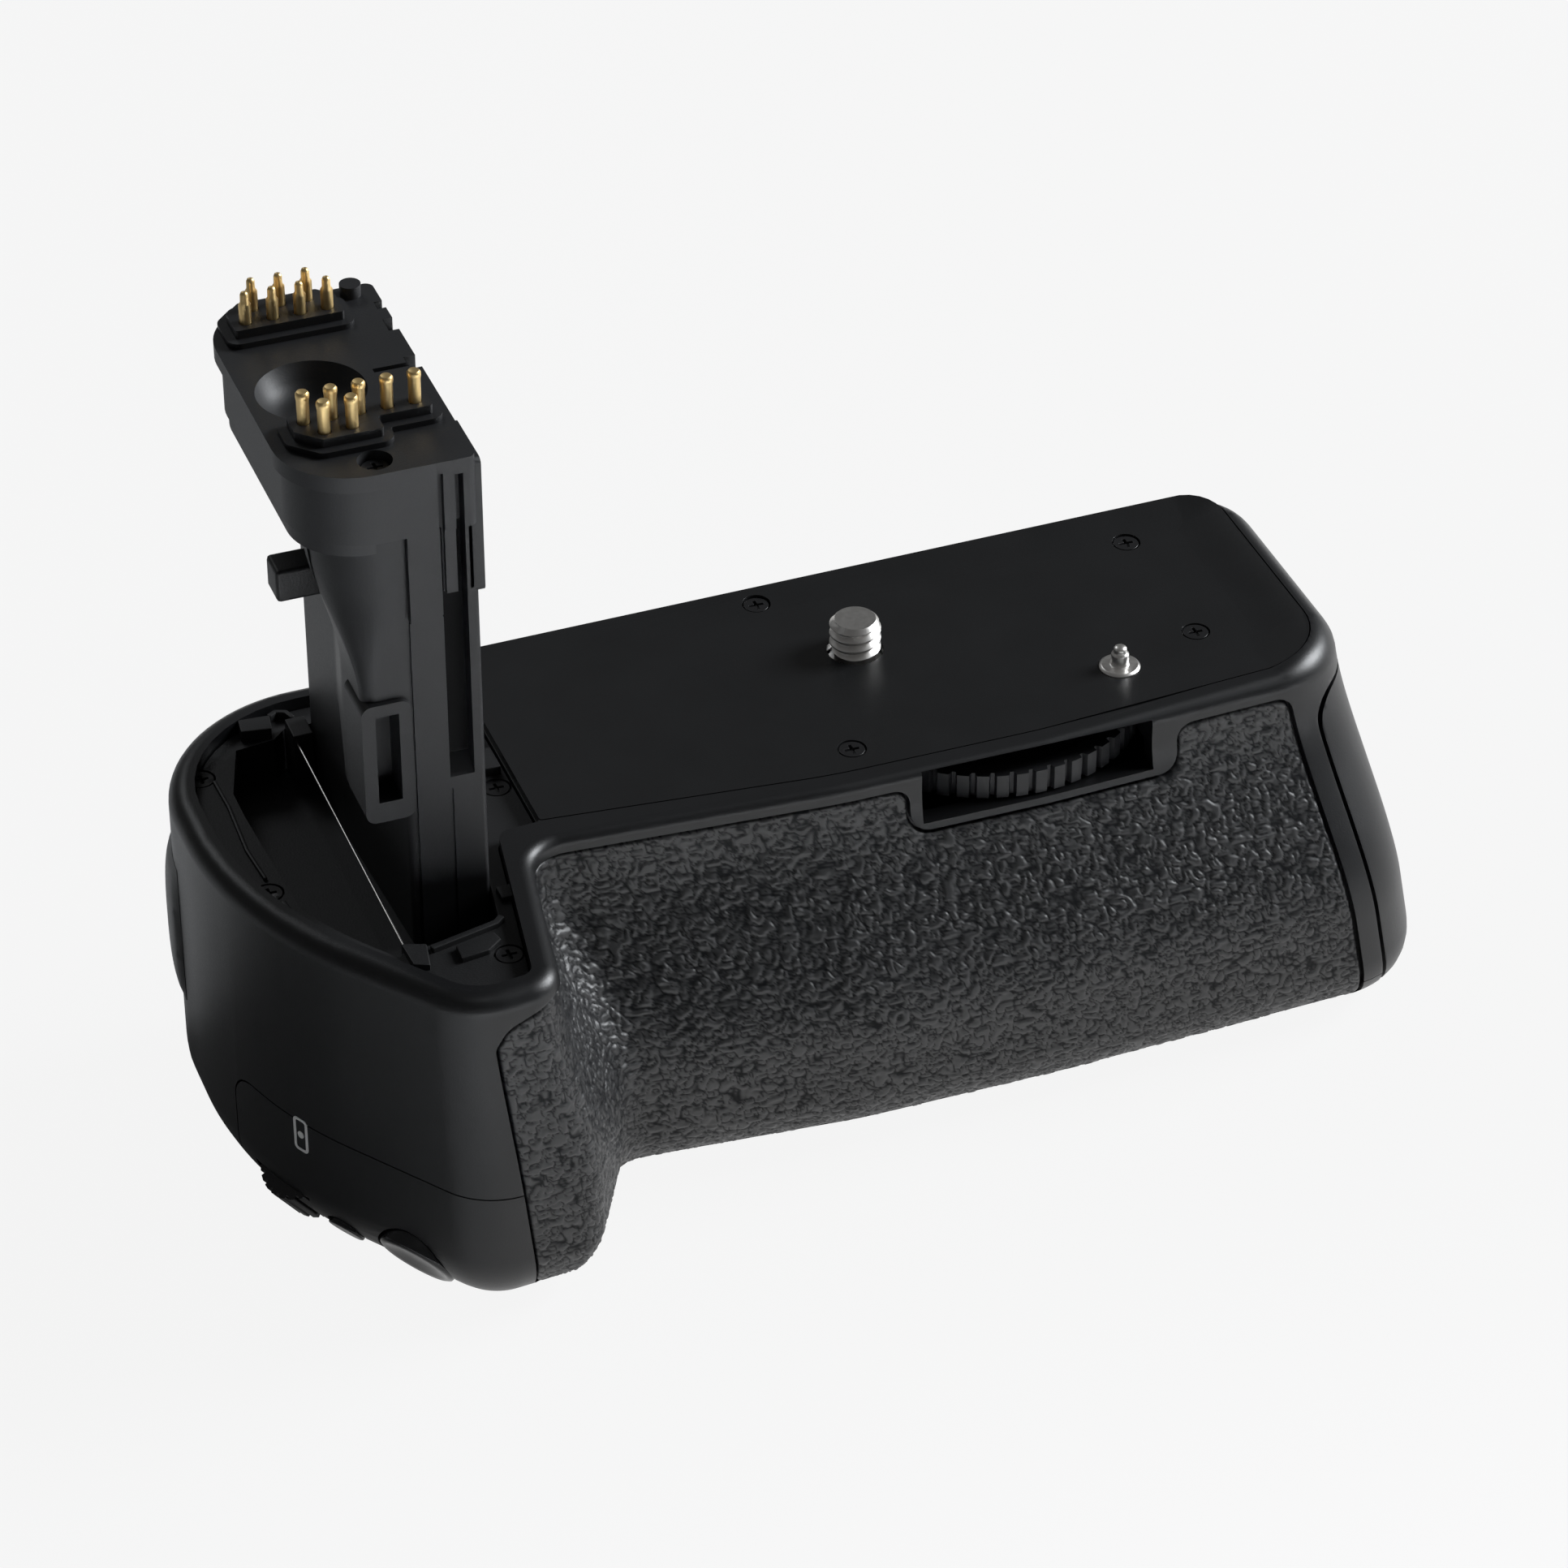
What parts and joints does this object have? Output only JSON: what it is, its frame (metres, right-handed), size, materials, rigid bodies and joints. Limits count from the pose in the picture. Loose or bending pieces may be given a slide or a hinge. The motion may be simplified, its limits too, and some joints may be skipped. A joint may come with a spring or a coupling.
{
  "type": "camera battery grip",
  "caption": "Camera battery grip with a contact tower, a wheel-driven 1/4 inch camera screw, a pull-out magazine for two packs, and upright-hold controls.",
  "frame": {"origin": "on the camera screw's axis, on the top face of the plate that the camera sits on", "axes": "+Z out of the plate towards the camera, +X along the grip towards the magazine's end, -Y towards the rubber front"},
  "size_m": [0.1511, 0.0732, 0.1104],
  "materials": {
    "casing_plastic": "fine-grained black polycarbonate",
    "grip_rubber": "wrinkled leather-grain rubber",
    "plate_paint": "dark satin paint",
    "steel": "nickel-plated",
    "gilt": "gold-plated",
    "button_plastic": "black, half gloss",
    "board": "solder mask"
  },
  "bodies": {
    "grip_body": {"main_shell": "casing_plastic", "rear_cover": "casing_plastic", "bottom_cover": "casing_plastic", "control_cover": "casing_plastic", "front_grip": "grip_rubber", "rear_thumb_pad": "grip_rubber", "top_plate": "plate_paint", "bay_tray": "casing_plastic", "chassis": "casing_plastic", "tower_column": "casing_plastic", "tower_cap": "casing_plastic", "rear_contact_block": "casing_plastic", "front_contact_block": "casing_plastic", "locating_pin": "steel", "tripod_socket": "steel", "wheel_axle": "steel", "dial_axle": "steel", "main_board": "board", "tower_board": "board", "control_board": "board", "shutter_switch": "button_plastic", "area_switch": "button_plastic", "chamber_contacts": "gilt", "plate_screws": "plate_paint", "bay_screws": "plate_paint", "cap_screws": "plate_paint", "bottom_screws": "plate_paint"},
    "wheel": {"attach_wheel": "casing_plastic"},
    "screw": {"camera_screw": "steel", "screw_gear": "steel"},
    "rear_pin_set": {"rear_pins": "gilt"},
    "front_pin_set": {"front_pins": "gilt"},
    "catch": {"tower_catch": "casing_plastic"},
    "shutter": {"shutter_button": "button_plastic"},
    "area": {"area_button": "button_plastic"},
    "dial": {"main_dial": "button_plastic"},
    "focus": {"focus_button": "button_plastic"},
    "lock": {"lock_button": "button_plastic"},
    "point": {"point_button": "button_plastic"},
    "lever": {"power_lever": "button_plastic"},
    "magazine": {"magazine_tray": "casing_plastic", "magazine_cap": "casing_plastic", "magazine_contacts": "gilt"},
    "magazine_lock": {"lock_knob": "button_plastic", "lock_spindle": "steel"}
  },
  "joints": [
    {"name": "attach_wheel_spin", "type": "hinge", "parent": "grip_body", "child": "wheel", "pos_m": [0.01375, -0.00671, -0.0054], "axis": [0, 0, 1], "continuous": true},
    {"name": "camera_screw_spin", "type": "hinge", "parent": "grip_body", "child": "screw", "pos_m": [0, 0, 0], "axis": [0, 0, 1], "continuous": true},
    {"name": "rear_pins_press", "type": "slide", "parent": "grip_body", "child": "rear_pin_set", "axis": [0, 0, -1], "range_m": [0, 0.0012], "stiffness_N_per_m": 150},
    {"name": "front_pins_press", "type": "slide", "parent": "grip_body", "child": "front_pin_set", "axis": [0, 0, -1], "range_m": [0, 0.0012], "stiffness_N_per_m": 150},
    {"name": "catch_press", "type": "slide", "parent": "grip_body", "child": "catch", "axis": [1, 0, 0], "range_m": [0, 0.003], "stiffness_N_per_m": 150},
    {"name": "shutter_press", "type": "slide", "parent": "grip_body", "child": "shutter", "axis": [0.6909, 0.4918, 0.5299], "range_m": [0, 0.001], "stiffness_N_per_m": 150},
    {"name": "area_press", "type": "slide", "parent": "grip_body", "child": "area", "axis": [0.6802, 0.438, 0.5878], "range_m": [0, 0.0006], "stiffness_N_per_m": 150},
    {"name": "dial_spin", "type": "hinge", "parent": "grip_body", "child": "dial", "pos_m": [-0.07847, -0.0249, -0.03976], "axis": [0.5429, 0.2253, -0.809], "continuous": true},
    {"name": "focus_press", "type": "slide", "parent": "grip_body", "child": "focus", "axis": [0.342, -0.9397, 0], "range_m": [0, 0.0006], "stiffness_N_per_m": 150},
    {"name": "lock_press", "type": "slide", "parent": "grip_body", "child": "lock", "axis": [0.6018, -0.7986, 0], "range_m": [0, 0.0006], "stiffness_N_per_m": 150},
    {"name": "point_press", "type": "slide", "parent": "grip_body", "child": "point", "axis": [0.809, -0.5878, 0], "range_m": [0, 0.0006], "stiffness_N_per_m": 150},
    {"name": "power_lever_turn", "type": "hinge", "parent": "grip_body", "child": "lever", "pos_m": [-0.04, 0.017, -0.03], "axis": [0, 1, 0], "range_deg": [0, 40]},
    {"name": "magazine_slide", "type": "slide", "parent": "grip_body", "child": "magazine", "axis": [1, 0, 0], "range_m": [0, 0.125]},
    {"name": "magazine_lock_turn", "type": "hinge", "parent": "magazine", "child": "magazine_lock", "pos_m": [0.06156, -0.0076, -0.024], "axis": [0.9824, 0, 0.1867], "range_deg": [0, 90]}
  ],
  "couplings": [
    {"joint": "camera_screw_spin", "follows": "attach_wheel_spin", "ratio": -2.6}
  ]
}
